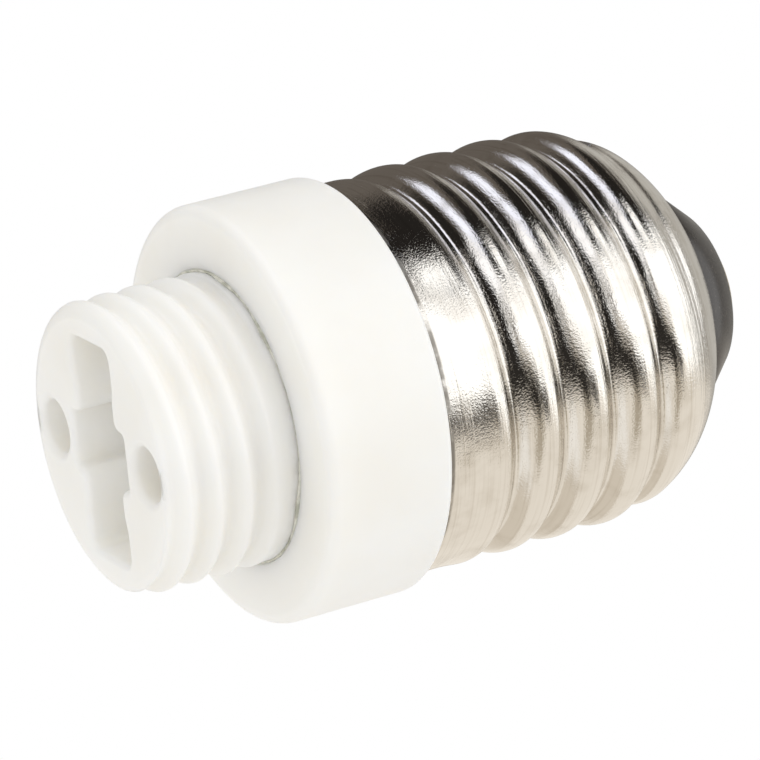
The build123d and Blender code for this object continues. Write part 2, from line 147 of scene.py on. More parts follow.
class NodeSheet:
    """The node tree of one material or world."""

    MIX_FACTOR = 0
    MIX_FIRST = 6
    MIX_SECOND = 7
    MIX_OUT = 2

    def __init__(self, owner: Union[bpy.types.Material, bpy.types.World]) -> None:
        """Starts an empty tree.

        Args:
            owner: Material or world that holds the tree.
        """
        owner.use_nodes = True
        self.tree = owner.node_tree
        self.tree.nodes.clear()

    def node(self, kind: str, settings: Settings = None, inputs: Inputs = None) -> bpy.types.Node:
        """Adds any node.

        Args:
            kind: Type of the node.
            settings: Properties, set first.
            inputs: Value or link of each socket, by name or index.

        Returns:
            The new node.
        """
        made = self.tree.nodes.new(kind)
        for name, value in (settings or {}).items():
            setattr(made, name, value)
        for name, value in (inputs or {}).items():
            source = value.socket if isinstance(value, Signal) else value
            if isinstance(source, bpy.types.NodeSocket):
                self.tree.links.new(source, made.inputs[name])
            else:
                made.inputs[name].default_value = source
        return made

    def signal(self, *given: Any, output: Any = 0) -> Signal:
        """Adds a node, given as to node, and wraps one of its outputs."""
        return Signal(self, self.node(*given).outputs[output])

    def split(self, vector: Signal) -> list[Signal]:
        """The three parts of a vector."""
        parts = self.node("ShaderNodeSeparateXYZ", None, {0: vector})
        return [Signal(self, output) for output in parts.outputs]

    def rays(self, *kinds: str) -> Signal:
        """Whether a ray is of one of the kinds that the Light Path node names."""
        path = self.node("ShaderNodeLightPath")
        return reduce(add, [Signal(self, path.outputs[kind]) for kind in kinds])

    def place(self) -> Signal:
        """Object coordinates, in metres."""
        return self.signal("ShaderNodeTexCoord", output="Object")

    def radius_and_height(self) -> tuple[Signal, Signal]:
        """Distance from the adapter's axis and height along it, in metres."""
        across, deep, height = self.split(self.place())
        return (across * across + deep * deep) ** 0.5, height

    def noise(self, grain: Grain, where: Signal | None = None) -> Signal:
        """Noise, about 0.5 in the middle, over the object's coordinates or others."""
        inputs = {"Vector": where or self.place(), "Scale": grain.scale, "Detail": grain.detail}
        return self.signal("ShaderNodeTexNoise", None, inputs)

    def patches(self, grain: Grain) -> Signal:
        """Noise stretched over its range, from 0 to 1."""
        return self.noise(grain).step(*grain.spread)

    def blend(self, factor: Any, first: Any, second: Any) -> Signal:
        """Mixes two colours; a factor of 0 gives the first, 1 the second."""
        inputs = {self.MIX_FACTOR: factor, self.MIX_FIRST: first, self.MIX_SECOND: second}
        return self.signal("ShaderNodeMix", {"data_type": "RGBA"}, inputs, output=self.MIX_OUT)

    def bump(self, height: Signal, strength: float, distance: float) -> Signal:
        """Normals of a relief from 0 to 1, which stands up by a distance in metres."""
        inputs = {"Height": height, "Strength": strength, "Distance": distance}
        return self.signal("ShaderNodeBump", None, inputs)

    def surface(self, shader: bpy.types.Node) -> None:
        """Ends the tree with a shader."""
        owner = "World" if shader.type == "BACKGROUND" else "Material"
        self.node(f"ShaderNodeOutput{owner}", None, {"Surface": shader.outputs[0]})

    def principled(self, inputs: Inputs) -> None:
        """Ends the tree with a principled shader."""
        self.surface(self.node("ShaderNodeBsdfPrincipled", None, inputs))


@dataclass(frozen=True)
class Finish:
    """A named procedural finish."""

    name: str

    def material(self) -> bpy.types.Material:
        """Makes the finish's material once.

        Returns:
            The material, new or found.
        """
        found = bpy.data.materials.get(self.name)
        if found is None:
            found = bpy.data.materials.new(self.name)
            self.dress(NodeSheet(found))
        return found

    def dress(self, sheet: NodeSheet) -> None:
        """Fills the material's node tree; each finish has its own."""
        raise NotImplementedError


@dataclass(frozen=True)
class MouldedWhite(Finish):
    """Warm white moulding compound with a satin skin and painted shade in patches along its joint.
    """

    pale: Colour = (0.91, 0.90, 0.865, 1.0)
    warm: Colour = (0.885, 0.865, 0.815, 1.0)
    # Colour of the painted shade in the seam between the nose and the collar.
    seam_shade: Colour = (0.30, 0.29, 0.23, 1.0)
    seam_shade_share: float = 0.4
    joint_radius: float = 9.58 * MM
    joint_reach: float = 0.30 * MM
    joint_height: float = 9.1 * MM
    clouds: Grain = Grain(120.0, 3.0, (0.3, 0.75))
    specks: Grain = Grain(900.0, 4.0, (0.4, 0.7))
    roughness: Span = (0.36, 0.16)
    skin: Grain = Grain(3200.0)
    relief: Span = (0.12, 0.02 * MM)
    glow_share: float = 0.75
    glow_tint: Triple = (1.0, 0.96, 0.88)
    glow_reach: float = 2.0 * MM
    refraction: float = 1.5

    def dress(self, sheet: NodeSheet) -> None:
        """Clouds two whites, paints patchy shade along the joint and gives the skin a fine relief.

        Args:
            sheet: The material's node tree.
        """
        clouds = sheet.patches(self.clouds)
        specks = sheet.noise(self.specks)
        radius, height = sheet.radius_and_height()
        near = (radius - self.joint_radius).size().step(self.joint_reach, 0.0)
        level = (height - self.joint_height).size().step(2 * self.joint_reach, 0.0)
        # Painted shade: darker patches on the white next to the seam between the nose and the
        # collar.
        painted_seam_shade = near * level * clouds * specks.step(*self.specks.spread)
        white = sheet.blend(clouds, self.pale, self.warm)
        sheet.principled({
            "Base Color": sheet.blend(painted_seam_shade * self.seam_shade_share, white, self.seam_shade),
            "Roughness": specks * self.roughness[1] + self.roughness[0],
            "Normal": sheet.bump(sheet.noise(self.skin), *self.relief),
            "Subsurface Weight": self.glow_share,
            "Subsurface Radius": self.glow_tint,
            "Subsurface Scale": self.glow_reach,
            "IOR": self.refraction,
        })


@dataclass(frozen=True)
class PlatedSheet(Finish):
    """Nickel plate on rolled sheet: fine pits, and drawn lines that follow the thread."""

    bright: Colour = (0.80, 0.775, 0.735, 1.0)
    dull: Colour = (0.60, 0.56, 0.50, 1.0)
    polish: float = 0.045
    # Painted shade: a dark, patchy line on the shell's foot beside the collar.
    seam_shade: Colour = (0.10, 0.085, 0.065, 1.0)
    seam_shade_run: Span = (18.50 * MM, 18.34 * MM)
    seam_shade_patches: Grain = Grain(600.0, 4.0, (0.3, 0.6))
    seam_shade_share: float = 0.7
    seam_shade_roughness: float = 0.4
    pits: Grain = Grain(8200.0)
    pit_weights: Span = (0.5, 0.5)
    pit_roughness: float = 0.03
    tired: Grain = Grain(420.0, 3.0, (0.42, 0.72))
    tired_share: float = 0.5
    tired_roughness: float = 0.05
    lines: Grain = Grain(1.0, 4.0, (0.46, 0.78))
    line_map: str = "thread_lines"
    line_pitch: float = 25.4 / 7
    line_stretch: Triple = (0.08, 5.0, 1.0)
    line_weights: Span = (0.35, 0.9)
    line_share: float = 0.5
    rolled_start: Span = (0.0, 0.1)
    rolled_end: Span = (0.62, 0.48)
    relief: Span = (1.0, 0.03 * MM)

    def dress(self, sheet: NodeSheet) -> None:
        """Mixes a bright and a dull plate, paints shade at its foot and bends the normal by pits
        and drawn lines.

        Args:
            sheet: The material's node tree.
        """
        along = sheet.signal("ShaderNodeUVMap", {"uv_map": self.line_map})
        stretch = {"Vector": along, "Scale": self.line_stretch}
        lines = sheet.noise(self.lines, sheet.signal("ShaderNodeMapping", None, stretch))
        pits = sheet.noise(self.pits)
        tired = sheet.patches(self.tired)
        share = (sheet.split(along)[1] * (1.0 / self.line_pitch)).fraction()
        rolled = share.step(*self.rolled_start) * share.step(*self.rolled_end)
        pitted = pits * (tired * self.pit_weights[1] + self.pit_weights[0])
        drawn = lines * (rolled * self.line_weights[1] + self.line_weights[0])
        # Painted shade at the shell's foot, next to the collar.
        seam_shade = sheet.radius_and_height()[1].step(*self.seam_shade_run)
        seam_shade = seam_shade * sheet.patches(self.seam_shade_patches)
        dulled = tired * self.tired_share + lines.step(*self.lines.spread) * self.line_share
        plate = sheet.blend(dulled, self.bright, self.dull)
        worn = tired * self.tired_roughness + self.polish + pits * self.pit_roughness
        sheet.principled({
            "Base Color": sheet.blend(seam_shade * self.seam_shade_share, plate, self.seam_shade),
            "Metallic": 1.0,
            "Roughness": worn + seam_shade * self.seam_shade_roughness,
            "Normal": sheet.bump(pitted + drawn, *self.relief),
        })


@dataclass(frozen=True)
class Mottled(Finish):
    """Small metal, black moulding or compound: two colours in patches, and a fine skin."""

    clean: Colour
    stain: Colour
    roughness: float
    patches: Grain = Grain(700.0, 4.0, (0.4, 0.72))
    patch_roughness: float = 0.2
    smears: Grain = Grain(6000.0)
    smear_roughness: float = 0.08
    skin: Grain = Grain(6000.0)
    relief: Span = (0.4, 0.015 * MM)
    metallic: float = 1.0
    refraction: float = 1.5

    def dress(self, sheet: NodeSheet) -> None:
        """Stains the colour in patches, varies the gloss and adds the skin.

        Args:
            sheet: The material's node tree.
        """
        patches = sheet.patches(self.patches)
        worn = patches * self.patch_roughness + self.roughness
        sheet.principled({
            "Base Color": sheet.blend(patches, self.clean, self.stain),
            "Metallic": self.metallic,
            "Roughness": worn + sheet.noise(self.smears) * self.smear_roughness,
            "Normal": sheet.bump(sheet.noise(self.skin), *self.relief),
            "IOR": self.refraction,
        })


def compound(name: str, body: Colour, mottle: Colour, scale: float, roughness: float) -> Mottled:
    """Finish of a dull, slightly mottled compound.

    Args:
        name: Name of the finish.
        body: Its main colour.
        mottle: Colour of the patches.
        scale: Patches per metre.
        roughness: The least roughness.

    Returns:
        The finish, in which one noise rules colour, gloss and relief.
    """
    grain = Grain(scale, 4.0, (0.35, 0.7))
    return Mottled(
        name, body, mottle, roughness, patches=grain, patch_roughness=0.0, smears=grain,
        smear_roughness=0.25, skin=grain, relief=(0.3, 0.04 * MM), metallic=0.0,
    )


WHITE = MouldedWhite("white_moulding_satin")
NICKEL = PlatedSheet("nickel_plate_rolled")
BLACK = Mottled(
    "black_insulator_gloss", (0.020, 0.016, 0.013, 1.0), (0.085, 0.072, 0.062, 1.0), 0.16,
    patches=Grain(5200.0, 5.0, (0.52, 0.85)), patch_roughness=0.0,
    smears=Grain(260.0, 3.0), smear_roughness=0.22,
    skin=Grain(2600.0, 3.0), relief=(0.2, 0.02 * MM), metallic=0.0, refraction=1.55,
)
SPRING = Mottled("spring_strip", (0.70, 0.66, 0.60, 1.0), (0.44, 0.38, 0.30, 1.0), 0.2)
BRASS = Mottled("contact_brass_worn", (0.78, 0.62, 0.36, 1.0), (0.42, 0.30, 0.16, 1.0), 0.22)
SOLDER = Mottled(
    "solder_dull", (0.66, 0.66, 0.67, 1.0), (0.40, 0.40, 0.41, 1.0), 0.28,
    patches=Grain(500.0, 4.0, (0.4, 0.72)), relief=(0.4, 0.03 * MM),
)
BOND = compound(
    "bonding_compound_olive", (0.78, 0.77, 0.68, 1.0), (0.48, 0.48, 0.39, 1.0), 1400.0, 0.38
)
SLEEVE = compound(
    "lead_sleeve_white", (0.80, 0.78, 0.72, 1.0), (0.68, 0.65, 0.58, 1.0), 2200.0, 0.5
)


def ease(value: float, low: float, high: float) -> float:
    """Smooth step of a number, from 0 at low to 1 at high; high may be below low."""
    share = min(1.0, max(0.0, (value - low) / (high - low)))
    return share * share * (3.0 - 2.0 * share)


def spin_outline(
    bm: Shape, outline: Sequence[Span], closed: bool, steps: int = ROUND_STEPS
) -> None:
    """Turns an outline of radius and height round the axis.

    Args:
        bm: Mesh that takes the surface.
        outline: Points of the half section.
        closed: Whether the last point joins the first.
        steps: Segments in the full turn.
    """
    verts = [bm.verts.new((radius, 0.0, height)) for radius, height in outline]
    pairs = list(zip(verts, verts[1:]))
    if closed:
        pairs.append((verts[-1], verts[0]))
    edges = [bm.edges.new(pair) for pair in pairs]
    bmesh.ops.spin(
        bm, geom=verts + edges, cent=(0, 0, 0), axis=(0, 0, 1), dvec=(0, 0, 0),
        angle=tau, steps=steps, use_merge=True, use_normal_flip=False, use_duplicate=False,
    )
    bmesh.ops.remove_doubles(bm, verts=bm.verts, dist=MERGE_DISTANCE)


def ring_edges(bm: Shape, radius: float, height: float) -> list[Edge]:
    """Edges that lie on one circle about the axis.

    Args:
        bm: Mesh to search.
        radius: Radius of the circle.
        height: Height of the circle.

    Returns:
        The circle's edges.
    """
    def on_ring(vert: bmesh.types.BMVert) -> bool:
        """Whether a vertex lies on the circle."""
        away = hypot(vert.co.x, vert.co.y) - radius
        return abs(vert.co.z - height) < RING_REACH and abs(away) < RING_REACH

    return [edge for edge in bm.edges if on_ring(edge.verts[0]) and on_ring(edge.verts[1])]


def round_off(
    bm: Shape, parts: Sequence[Any], size: float, steps: int, what: Rounding = Rounding.EDGES
) -> None:
    """Rounds edges or corners by a bevel.

    Args:
        bm: Mesh that holds them.
        parts: The edges or vertices.
        size: Width of the rounding on each side.
        steps: Segments of the rounding.
        what: Whether edges or corners are rounded.
    """
    bmesh.ops.bevel(
        bm, geom=list(parts), offset=size, offset_type="OFFSET", segments=steps,
        profile=0.5, affect=what.value, clamp_overlap=True, material=-1,
    )


def settle(bm: Shape, level: float = LEVEL_FACE) -> None:
    """Points the faces outwards and shades all but the level ones smoothly.

    Args:
        bm: The finished shape.
        level: Upright part of a normal from which a face counts as level.
    """
    bmesh.ops.recalc_face_normals(bm, faces=bm.faces)
    for face in bm.faces:
        face.smooth = abs(face.normal.z) < level


def mesh_object(name: str, bm: Shape, material: bpy.types.Material) -> bpy.types.Object:
    """Makes an object of the scene from a finished shape.

    Args:
        name: Name of the mesh and the object.
        bm: The shape; it is freed.
        material: Its only material.

    Returns:
        The object, at the origin.
    """
    mesh = bpy.data.meshes.new(name)
    bm.to_mesh(mesh)
    bm.free()
    mesh.materials.append(material)
    made = bpy.data.objects.new(name, mesh)
    bpy.context.scene.collection.objects.link(made)
    return made


@dataclass
class Piece:
    """A mesh that stands for a CAD node."""

    name: str
    slot: Slot
    finish: Finish
    replaces: tuple[str, ...] = ()

    def model(self, bm: Shape) -> None:
        """Builds the shape; each piece has its own."""
        raise NotImplementedError

    def finish_mesh(self, piece: bpy.types.Object) -> None:
        """Adds modifiers; most pieces need none."""

    def build(self) -> None:
        """Makes, dresses and seats the piece."""
        bm = bmesh.new()
        self.model(bm)
        loose = sum(1 for edge in bm.edges if len(edge.link_faces) != 2)
        piece = mesh_object(self.name, bm, self.finish.material())
        self.finish_mesh(piece)
        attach(piece, BODY)
        if self.replaces:
            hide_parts(*self.replaces)
        log.info("%s: %d faces, %d open edges", self.name, len(piece.data.polygons), loose)


@dataclass
class ScrewShell(Piece):
    """Thin plated cap: plain band, rolled round thread that runs in and out, turned-in end."""

    sheet: float = 0.3 * MM
    pitch: float = 25.4 / 7 * MM
    depth: float = 0.93 * MM
    crest_share: float = 0.86
    band_radius: float = 12.95 * MM
    band_rise: Span = (2.6 * MM, 5.4 * MM)
    edge_gap: float = 0.09 * MM
    edge_round: float = 0.14 * MM
    first_crest: float = 4.44 * MM
    run_in: Span = (3.35 * MM, 4.7 * MM)
    run_out: Span = (17.3 * MM, 20.3 * MM)
    dome_radius: float = 8.3 * MM
    rim_radius: float = 8.6 * MM
    step: float = 0.108 * MM
    waver: float = 0.016 * MM
    waver_scale: float = 330.0

    def __post_init__(self) -> None:
        """Takes the crest, the base and the rim from the CAD node's box."""
        low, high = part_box("screw_shell")
        self.base = low.z
        self.crest = high.x
        self.rim = high.z
        self.dome_start = self.rim - sqrt(self.dome_radius ** 2 - self._rim_reach() ** 2)

    def _rim_reach(self) -> float:
        """Distance of the rim from the centre line of the dome's arc."""
        return self.rim_radius - (self.crest - self.dome_radius)

    def envelope(self, height: float) -> float:
        """Radius over the crests.

        Args:
            height: Height in the adapter's frame.

        Returns:
            Radius of the band, the crests or the dome.
        """
        over = height - self.base
        if height > self.dome_start:
            drop = min(height - self.dome_start, self.dome_radius)
            return self.crest - self.dome_radius + sqrt(self.dome_radius ** 2 - drop ** 2)
        rise = (self.crest - self.band_radius) * ease(over, *self.band_rise)
        radius = self.band_radius + rise
        inset = max(0.0, self.edge_gap + self.edge_round - over)
        return radius - self.edge_round + sqrt(max(0.0, self.edge_round ** 2 - inset ** 2))

    def groove(self, from_crest: float) -> float:
        """Depth of the round thread's section.

        Args:
            from_crest: Distance along the axis from the nearest crest.

        Returns:
            Depth below the crest.
        """
        half = self.pitch / 2
        lean = 2 * atan2(self.depth, half)
        crest_arc = self.crest_share * half / sin(lean)
        root_arc = half / sin(lean) - crest_arc
        turn = self.crest_share * half
        if from_crest < turn:
            return crest_arc - sqrt(crest_arc ** 2 - from_crest ** 2)
        return self.depth - root_arc + sqrt(root_arc ** 2 - (half - from_crest) ** 2)

    def turns(self, angle: float, height: float) -> float:
        """Turns along the thread; whole numbers are crests."""
        return (height - self.base - self.first_crest) / self.pitch - angle / tau

    def radius(self, angle: float, height: float, outer: float) -> float:
        """Radius of the rolled sheet.

        Args:
            angle: Direction round the axis.
            height: Height in the adapter's frame.
            outer: Radius over the crests there.

        Returns:
            Radius with the thread rolled in.
        """
        turns = self.turns(angle, height)
        cell = turns // 1
        share = turns - cell
        valley = self.first_crest + (cell + 0.5 + angle / tau) * self.pitch
        fade = ease(valley, *self.run_in) * ease(valley, self.run_out[1], self.run_out[0])
        return outer - fade * self.groove(min(share, 1.0 - share) * self.pitch)

    def outline(self) -> list[Span]:
        """Half section over the crests.

        Returns:
            Radius and height of each point, from the collar to the rim.
        """
        bottom = self.base + self.edge_gap
        count = ceil((self.dome_start - bottom) / self.step)
        heights = [bottom + (self.dome_start - bottom) * i / count for i in range(count)]
        points = [(self.envelope(height), height) for height in heights]
        reach = pi / 2 - asin(self._rim_reach() / self.dome_radius)
        arcs = ceil(reach * self.dome_radius / self.step)
        centre = self.crest - self.dome_radius
        for i in range(arcs + 1):
            lift = reach * i / arcs
            radius = centre + self.dome_radius * cos(lift)
            points.append((radius, self.dome_start + self.dome_radius * sin(lift)))
        return points

    def model(self, bm: Shape) -> None:
        """Spins the envelope, rolls the thread into it and maps lines along the thread.

        Args:
            bm: Mesh that takes the cap.
        """
        spin_outline(bm, self.outline(), closed=False)
        for vert in bm.verts:
            angle = atan2(vert.co.y, vert.co.x)
            outer = hypot(vert.co.x, vert.co.y)
            radius = self.radius(angle, vert.co.z, outer)
            radius -= self.waver * (0.5 + 0.5 * noise.noise(vert.co * self.waver_scale))
            vert.co.x *= radius / outer
            vert.co.y *= radius / outer
        settle(bm, NO_LEVEL_FACE)
        lines = bm.loops.layers.uv.new(NICKEL.line_map)
        for face in bm.faces:
            middle = face.calc_center_median()
            middle_angle = atan2(middle.y, middle.x)
            for loop in face.loops:
                place = loop.vert.co
                angle = atan2(place.y, place.x)
                angle += tau * round((middle_angle - angle) / tau)
                across = self.turns(angle, place.z) * self.pitch / MM
                loop[lines].uv = (angle * self.crest / MM, across)

    def finish_mesh(self, piece: bpy.types.Object) -> None:
        """Gives the sheet its thickness, inwards.

        Args:
            piece: The cap's object.
        """
        wall = piece.modifiers.new("sheet", "SOLIDIFY")
        wall.thickness = self.sheet
        wall.offset = -1.0
        wall.use_even_offset = True


@dataclass
class CollarHousing(Piece):
    """White collar with its hidden spigot, turned from one outline."""

    bore: float = 9.65 * MM
    cavity: float = 10.4 * MM
    front_wall: float = 3.0 * MM
    length: float = 8.8 * MM
    spigot: float = 12.6 * MM
    spigot_neck: float = 11.85 * MM
    ramp: Span = (3.3 * MM, 5.0 * MM)
    front_round: Bevel = (0.75 * MM, 8)
    rear_round: Bevel = (0.45 * MM, 6)
    bore_round: Bevel = (0.14 * MM, 3)

    def model(self, bm: Shape) -> None:
        """Spins the section and rounds the edges that show.

        Args:
            bm: Mesh that takes the collar.
        """
        low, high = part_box("collar_housing")
        radius, front, end = high.x, low.z, high.z
        rear = front + self.length
        seat = front + self.front_wall
        outline = [
            (self.bore, front), (radius, front), (radius, rear), (self.spigot, rear),
            (self.spigot, rear + self.ramp[0]), (self.spigot_neck, rear + self.ramp[1]),
            (self.spigot_neck, end), (self.cavity, end), (self.cavity, seat), (self.bore, seat),
        ]
        spin_outline(bm, outline, closed=True)
        round_off(bm, ring_edges(bm, radius, front), *self.front_round)
        round_off(bm, ring_edges(bm, radius, rear), *self.rear_round)
        round_off(bm, ring_edges(bm, self.bore, front), *self.bore_round)
        settle(bm)


@dataclass
class SocketInsert(Piece):
    """White threaded nose with the lamp slot, its contact chambers and two fastener holes."""

    crest: float = 9.6 * MM
    thread_depth: float = 0.65 * MM
    pitch: float = 2.1 * MM
    phase: float = -2.33 * MM
    front_round: float = 1.0 * MM
    root_round: float = 0.4 * MM
    run_out: Span = (7.9 * MM, 8.7 * MM)
    neck_start: float = 8.7 * MM
    neck: float = 9.5 * MM
    seat: float = 12.1 * MM
    flange: float = 2.0 * MM
    rear_radius: float = 9.6 * MM
    step: float = 0.1 * MM
    slot_half: float = 7.2 * MM
    slot_width: float = 2.4 * MM
    slot_depth: float = 6.5 * MM
    end_step: float = 0.25 * MM
    end_start: float = 4.2 * MM
    middle_half: float = 1.9 * MM
    middle_width: float = 3.6 * MM
    corner: float = 0.8 * MM
    inner_corner: float = 0.40 * MM
    middle_corner: float = 0.30 * MM
    end_slope: float = 0.5 * MM
    lip: float = 0.40 * MM
    lip_steps: int = 5
    corner_steps: int = 6
    chamber: Span = (5.0 * MM, 3.4 * MM)
    contact_half: float = 4.5 * MM
    hole_spread: float = 6.4 * MM
    hole_radius: float = 1.8 * MM
    hole_lip: float = 0.52 * MM
    hole_depth: float = 3.0 * MM
    hole_steps: int = 48
    rivet_radius: float = 1.25 * MM
    level_face: float = 0.9999

    def envelope(self, height: float) -> float:
        """Radius over the thread's crests.

        Args:
            height: Height above the front face.

        Returns:
            Radius, with the rounded front edge.
        """
        drop = max(0.0, self.front_round - height)
        radius = self.crest - self.front_round + sqrt(self.front_round ** 2 - drop ** 2)
        return radius + (self.neck - self.crest) * ease(height, self.run_out[0], self.neck_start)

    def radius(self, angle: float, height: float) -> float:
        """Radius of the threaded nose.

        Args:
            angle: Direction round the axis.
            height: Height above the front face.

        Returns:
            Radius with the thread cut in.
        """
        turns = (height - self.phase) / self.pitch - angle / tau
        share = turns % 1.0
        valley = height + (0.5 - share) * self.pitch
        fade = ease(valley, self.run_out[1], self.run_out[0])
        root = self.thread_depth * fade * (0.5 - 0.5 * cos(tau * share))
        outer = self.envelope(height)
        threaded = self.crest - root
        drop = max(0.0, self.root_round - height)
        return min(outer, threaded - self.root_round + sqrt(self.root_round ** 2 - drop ** 2))

    def _outer_wall(self, bm: Shape, rear: float) -> None:
        """Spins the outside and cuts the thread into it.

        Args:
            bm: Mesh that takes the wall.
            rear: Height of the rear face.
        """
        front = self.crest - self.front_round
        count = ceil(self.neck_start / self.step)
        outline = [(front, 0.0)]
        for i in range(1, count + 1):
            height = self.neck_start * i / count
            outline.append((self.envelope(height), height))
        flange_rear = self.seat + self.flange
        flange_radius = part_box("socket_insert")[1].x
        outline += [
            (self.neck, self.seat), (flange_radius, self.seat), (flange_radius, flange_rear),
            (self.rear_radius, flange_rear), (self.rear_radius, rear),
        ]
        spin_outline(bm, outline, closed=False)
        for vert in bm.verts:
            if 0.0 < vert.co.z < self.neck_start:
                radius = self.radius(atan2(vert.co.y, vert.co.x), vert.co.z)
                share = radius / hypot(vert.co.x, vert.co.y)
                vert.co.x *= share
                vert.co.y *= share

    def _slot_face(self, bm: Shape) -> Face:
        """The slot's plan with rounded corners, larger by the lip.

        Args:
            bm: Mesh that takes the face.

        Returns:
            The face, on the front plane.
        """
        end_width = self.slot_width + self.end_step
        middle = self.middle_half + self.lip
        quarter = [
            (self.slot_half + self.lip, end_width + self.lip, self.corner + self.lip),
            (self.end_start + self.end_slope, end_width + self.lip, 0.0),
            (self.end_start - self.end_slope, self.slot_width + self.lip, 0.0),
            (middle, self.slot_width + self.lip, self.inner_corner),
            (middle, self.middle_width + self.lip, self.middle_corner + self.lip),
        ]
        half = quarter + [(-x, y, size) for x, y, size in reversed(quarter)]
        corners = half + [(-x, -y, size) for x, y, size in half]
        verts = [bm.verts.new((x, y, 0.0)) for x, y, _ in corners]
        bm.faces.new(verts)
        for size in sorted({size for _, _, size in corners if size}, reverse=True):
            chosen = [vert for vert, corner in zip(verts, corners) if corner[2] == size]
            round_off(bm, chosen, size, self.corner_steps, Rounding.CORNERS)
        return max(bm.faces, key=lambda face: len(face.verts))

    def _mouth(self, bm: Shape, face: Face, lip: float, depth: float) -> None:
        """Sinks a face of the front plane behind a rounded lip.

        Args:
            bm: Mesh that holds the face.
            face: The face; it ends as the floor.
            lip: Radius of the rounded lip.
            depth: Depth of the floor.
        """
        if face.normal.z > 0:
            face.normal_flip()
        for i in range(self.lip_steps):
            start = pi / 2 * i / self.lip_steps
            end = pi / 2 * (i + 1) / self.lip_steps
            self._sink(bm, face, lip * (cos(start) - cos(end)), lip * (sin(end) - sin(start)))
        self._sink(bm, face, depth - lip)

    def _sink(self, bm: Shape, face: Face, depth: float, inset: float = 0.0) -> None:
        """Moves a face inwards and leaves walls behind it.

        Args:
            bm: Mesh that holds the face.
            face: The face; its normal points out of the front.
            depth: Distance along the axis.
            inset: How much narrower it gets on each side.
        """
        bmesh.ops.inset_region(
            bm, faces=[face], use_boundary=True, use_even_offset=True,
            thickness=inset, depth=-depth,
        )

    def _fill(self, bm: Shape, height: float) -> None:
        """Fills a plane between the open loops that lie on it.

        Args:
            bm: Mesh that holds the loops.
            height: Height of the plane.
        """
        edges = [
            edge for edge in bm.edges
            if len(edge.link_faces) < 2
            and all(abs(vert.co.z - height) < PLANE_REACH for vert in edge.verts)
        ]
        bmesh.ops.triangle_fill(
            bm, use_beauty=True, use_dissolve=False, edges=edges, normal=(0, 0, -1)
        )

    def _chambers(self, bm: Shape, rear: float) -> None:
        """Opens the slot's floor to the two contact chambers.

        Args:
            bm: Mesh that takes the walls.
            rear: Height of the rear face.
        """
        mouths: list[Edge] = []
        for side in (-1, 1):
            scale = Matrix.Diagonal((self.chamber[0] / 2, self.chamber[1] / 2, 1.0, 1.0))
            place = Matrix.Translation((side * self.contact_half, 0.0, self.slot_depth)) @ scale
            made = bmesh.ops.create_grid(bm, x_segments=1, y_segments=1, size=1.0, matrix=place)
            mouth = made["verts"][0].link_faces[0]
            mouths += mouth.edges
            bmesh.ops.delete(bm, geom=[mouth], context="FACES_ONLY")
        self._fill(bm, self.slot_depth)
        grown = bmesh.ops.extrude_edge_only(bm, edges=mouths)["geom"]
        for item in grown:
            if isinstance(item, bmesh.types.BMVert):
                item.co.z = rear

    def model(self, bm: Shape) -> None:
        """Builds the slot and holes, the outside, and the planes between them.

        Args:
            bm: Mesh that takes the insert.
        """
        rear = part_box("socket_insert")[1].z
        slot = self._slot_face(bm)
        self._mouth(bm, slot, self.lip, self.slot_depth)
        bmesh.ops.delete(bm, geom=[slot], context="FACES_ONLY")
        self._chambers(bm, rear)
        for side in (-1, 1):
            place = Matrix.Translation((0.0, side * self.hole_spread, 0.0))
            made = bmesh.ops.create_circle(
                bm, cap_ends=True, radius=self.hole_radius + self.hole_lip,
                segments=self.hole_steps, matrix=place,
            )
            hole = made["verts"][0].link_faces[0]
            self._mouth(bm, hole, self.hole_lip, self.hole_depth)
            self._sink(bm, hole, 0.0, self.hole_radius - self.rivet_radius)
            self._sink(bm, hole, rear - self.hole_depth)
            bmesh.ops.delete(bm, geom=[hole], context="FACES_ONLY")
        outside = bmesh.new()
        self._outer_wall(outside, rear)
        scratch = bpy.data.meshes.new("outside")
        outside.to_mesh(scratch)
        outside.free()
        bm.from_mesh(scratch)
        bpy.data.meshes.remove(scratch)
        self._fill(bm, 0.0)
        self._fill(bm, rear)
        bmesh.ops.remove_doubles(bm, verts=bm.verts, dist=MERGE_DISTANCE)
        settle(bm, self.level_face)


@dataclass
class TipInsulator(Piece):
    """Black cone outside the cap's rim, with its neck and flange inside."""

    neck: float = 8.45 * MM
    shoulder: float = 2.737 * MM
    neck_foot: float = 2.34 * MM
    flange_rise: float = 1.38 * MM
    flange_edge: float = 9.8 * MM
    end_radius: float = 5.2 * MM
    bore: float = 1.55 * MM
    boss: float = 2.9 * MM
    recess: Span = (4.2 * MM, 7.0 * MM)
    end_wall: float = 2.1 * MM
    end_round: Bevel = (0.75 * MM, 8)

    def model(self, bm: Shape) -> None:
        """Spins the section and rounds its end.

        Args:
            bm: Mesh that takes the cone.
        """
        low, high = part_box("tip_insulator")
        foot, top, flange = low.z, high.z, high.x
        inner = top - self.end_wall
        outline = [
            (self.neck, foot + self.neck_foot), (self.neck, foot + self.shoulder),
            (self.end_radius, top), (self.bore, top),
            (self.bore, foot), (self.boss, foot), (self.boss, inner),
            (self.recess[0], inner), (self.recess[1], foot), (flange, foot),
            (self.flange_edge, foot + self.flange_rise),
        ]
        spin_outline(bm, outline, closed=True)
        round_off(bm, ring_edges(bm, self.end_radius, top), *self.end_round)
        settle(bm)


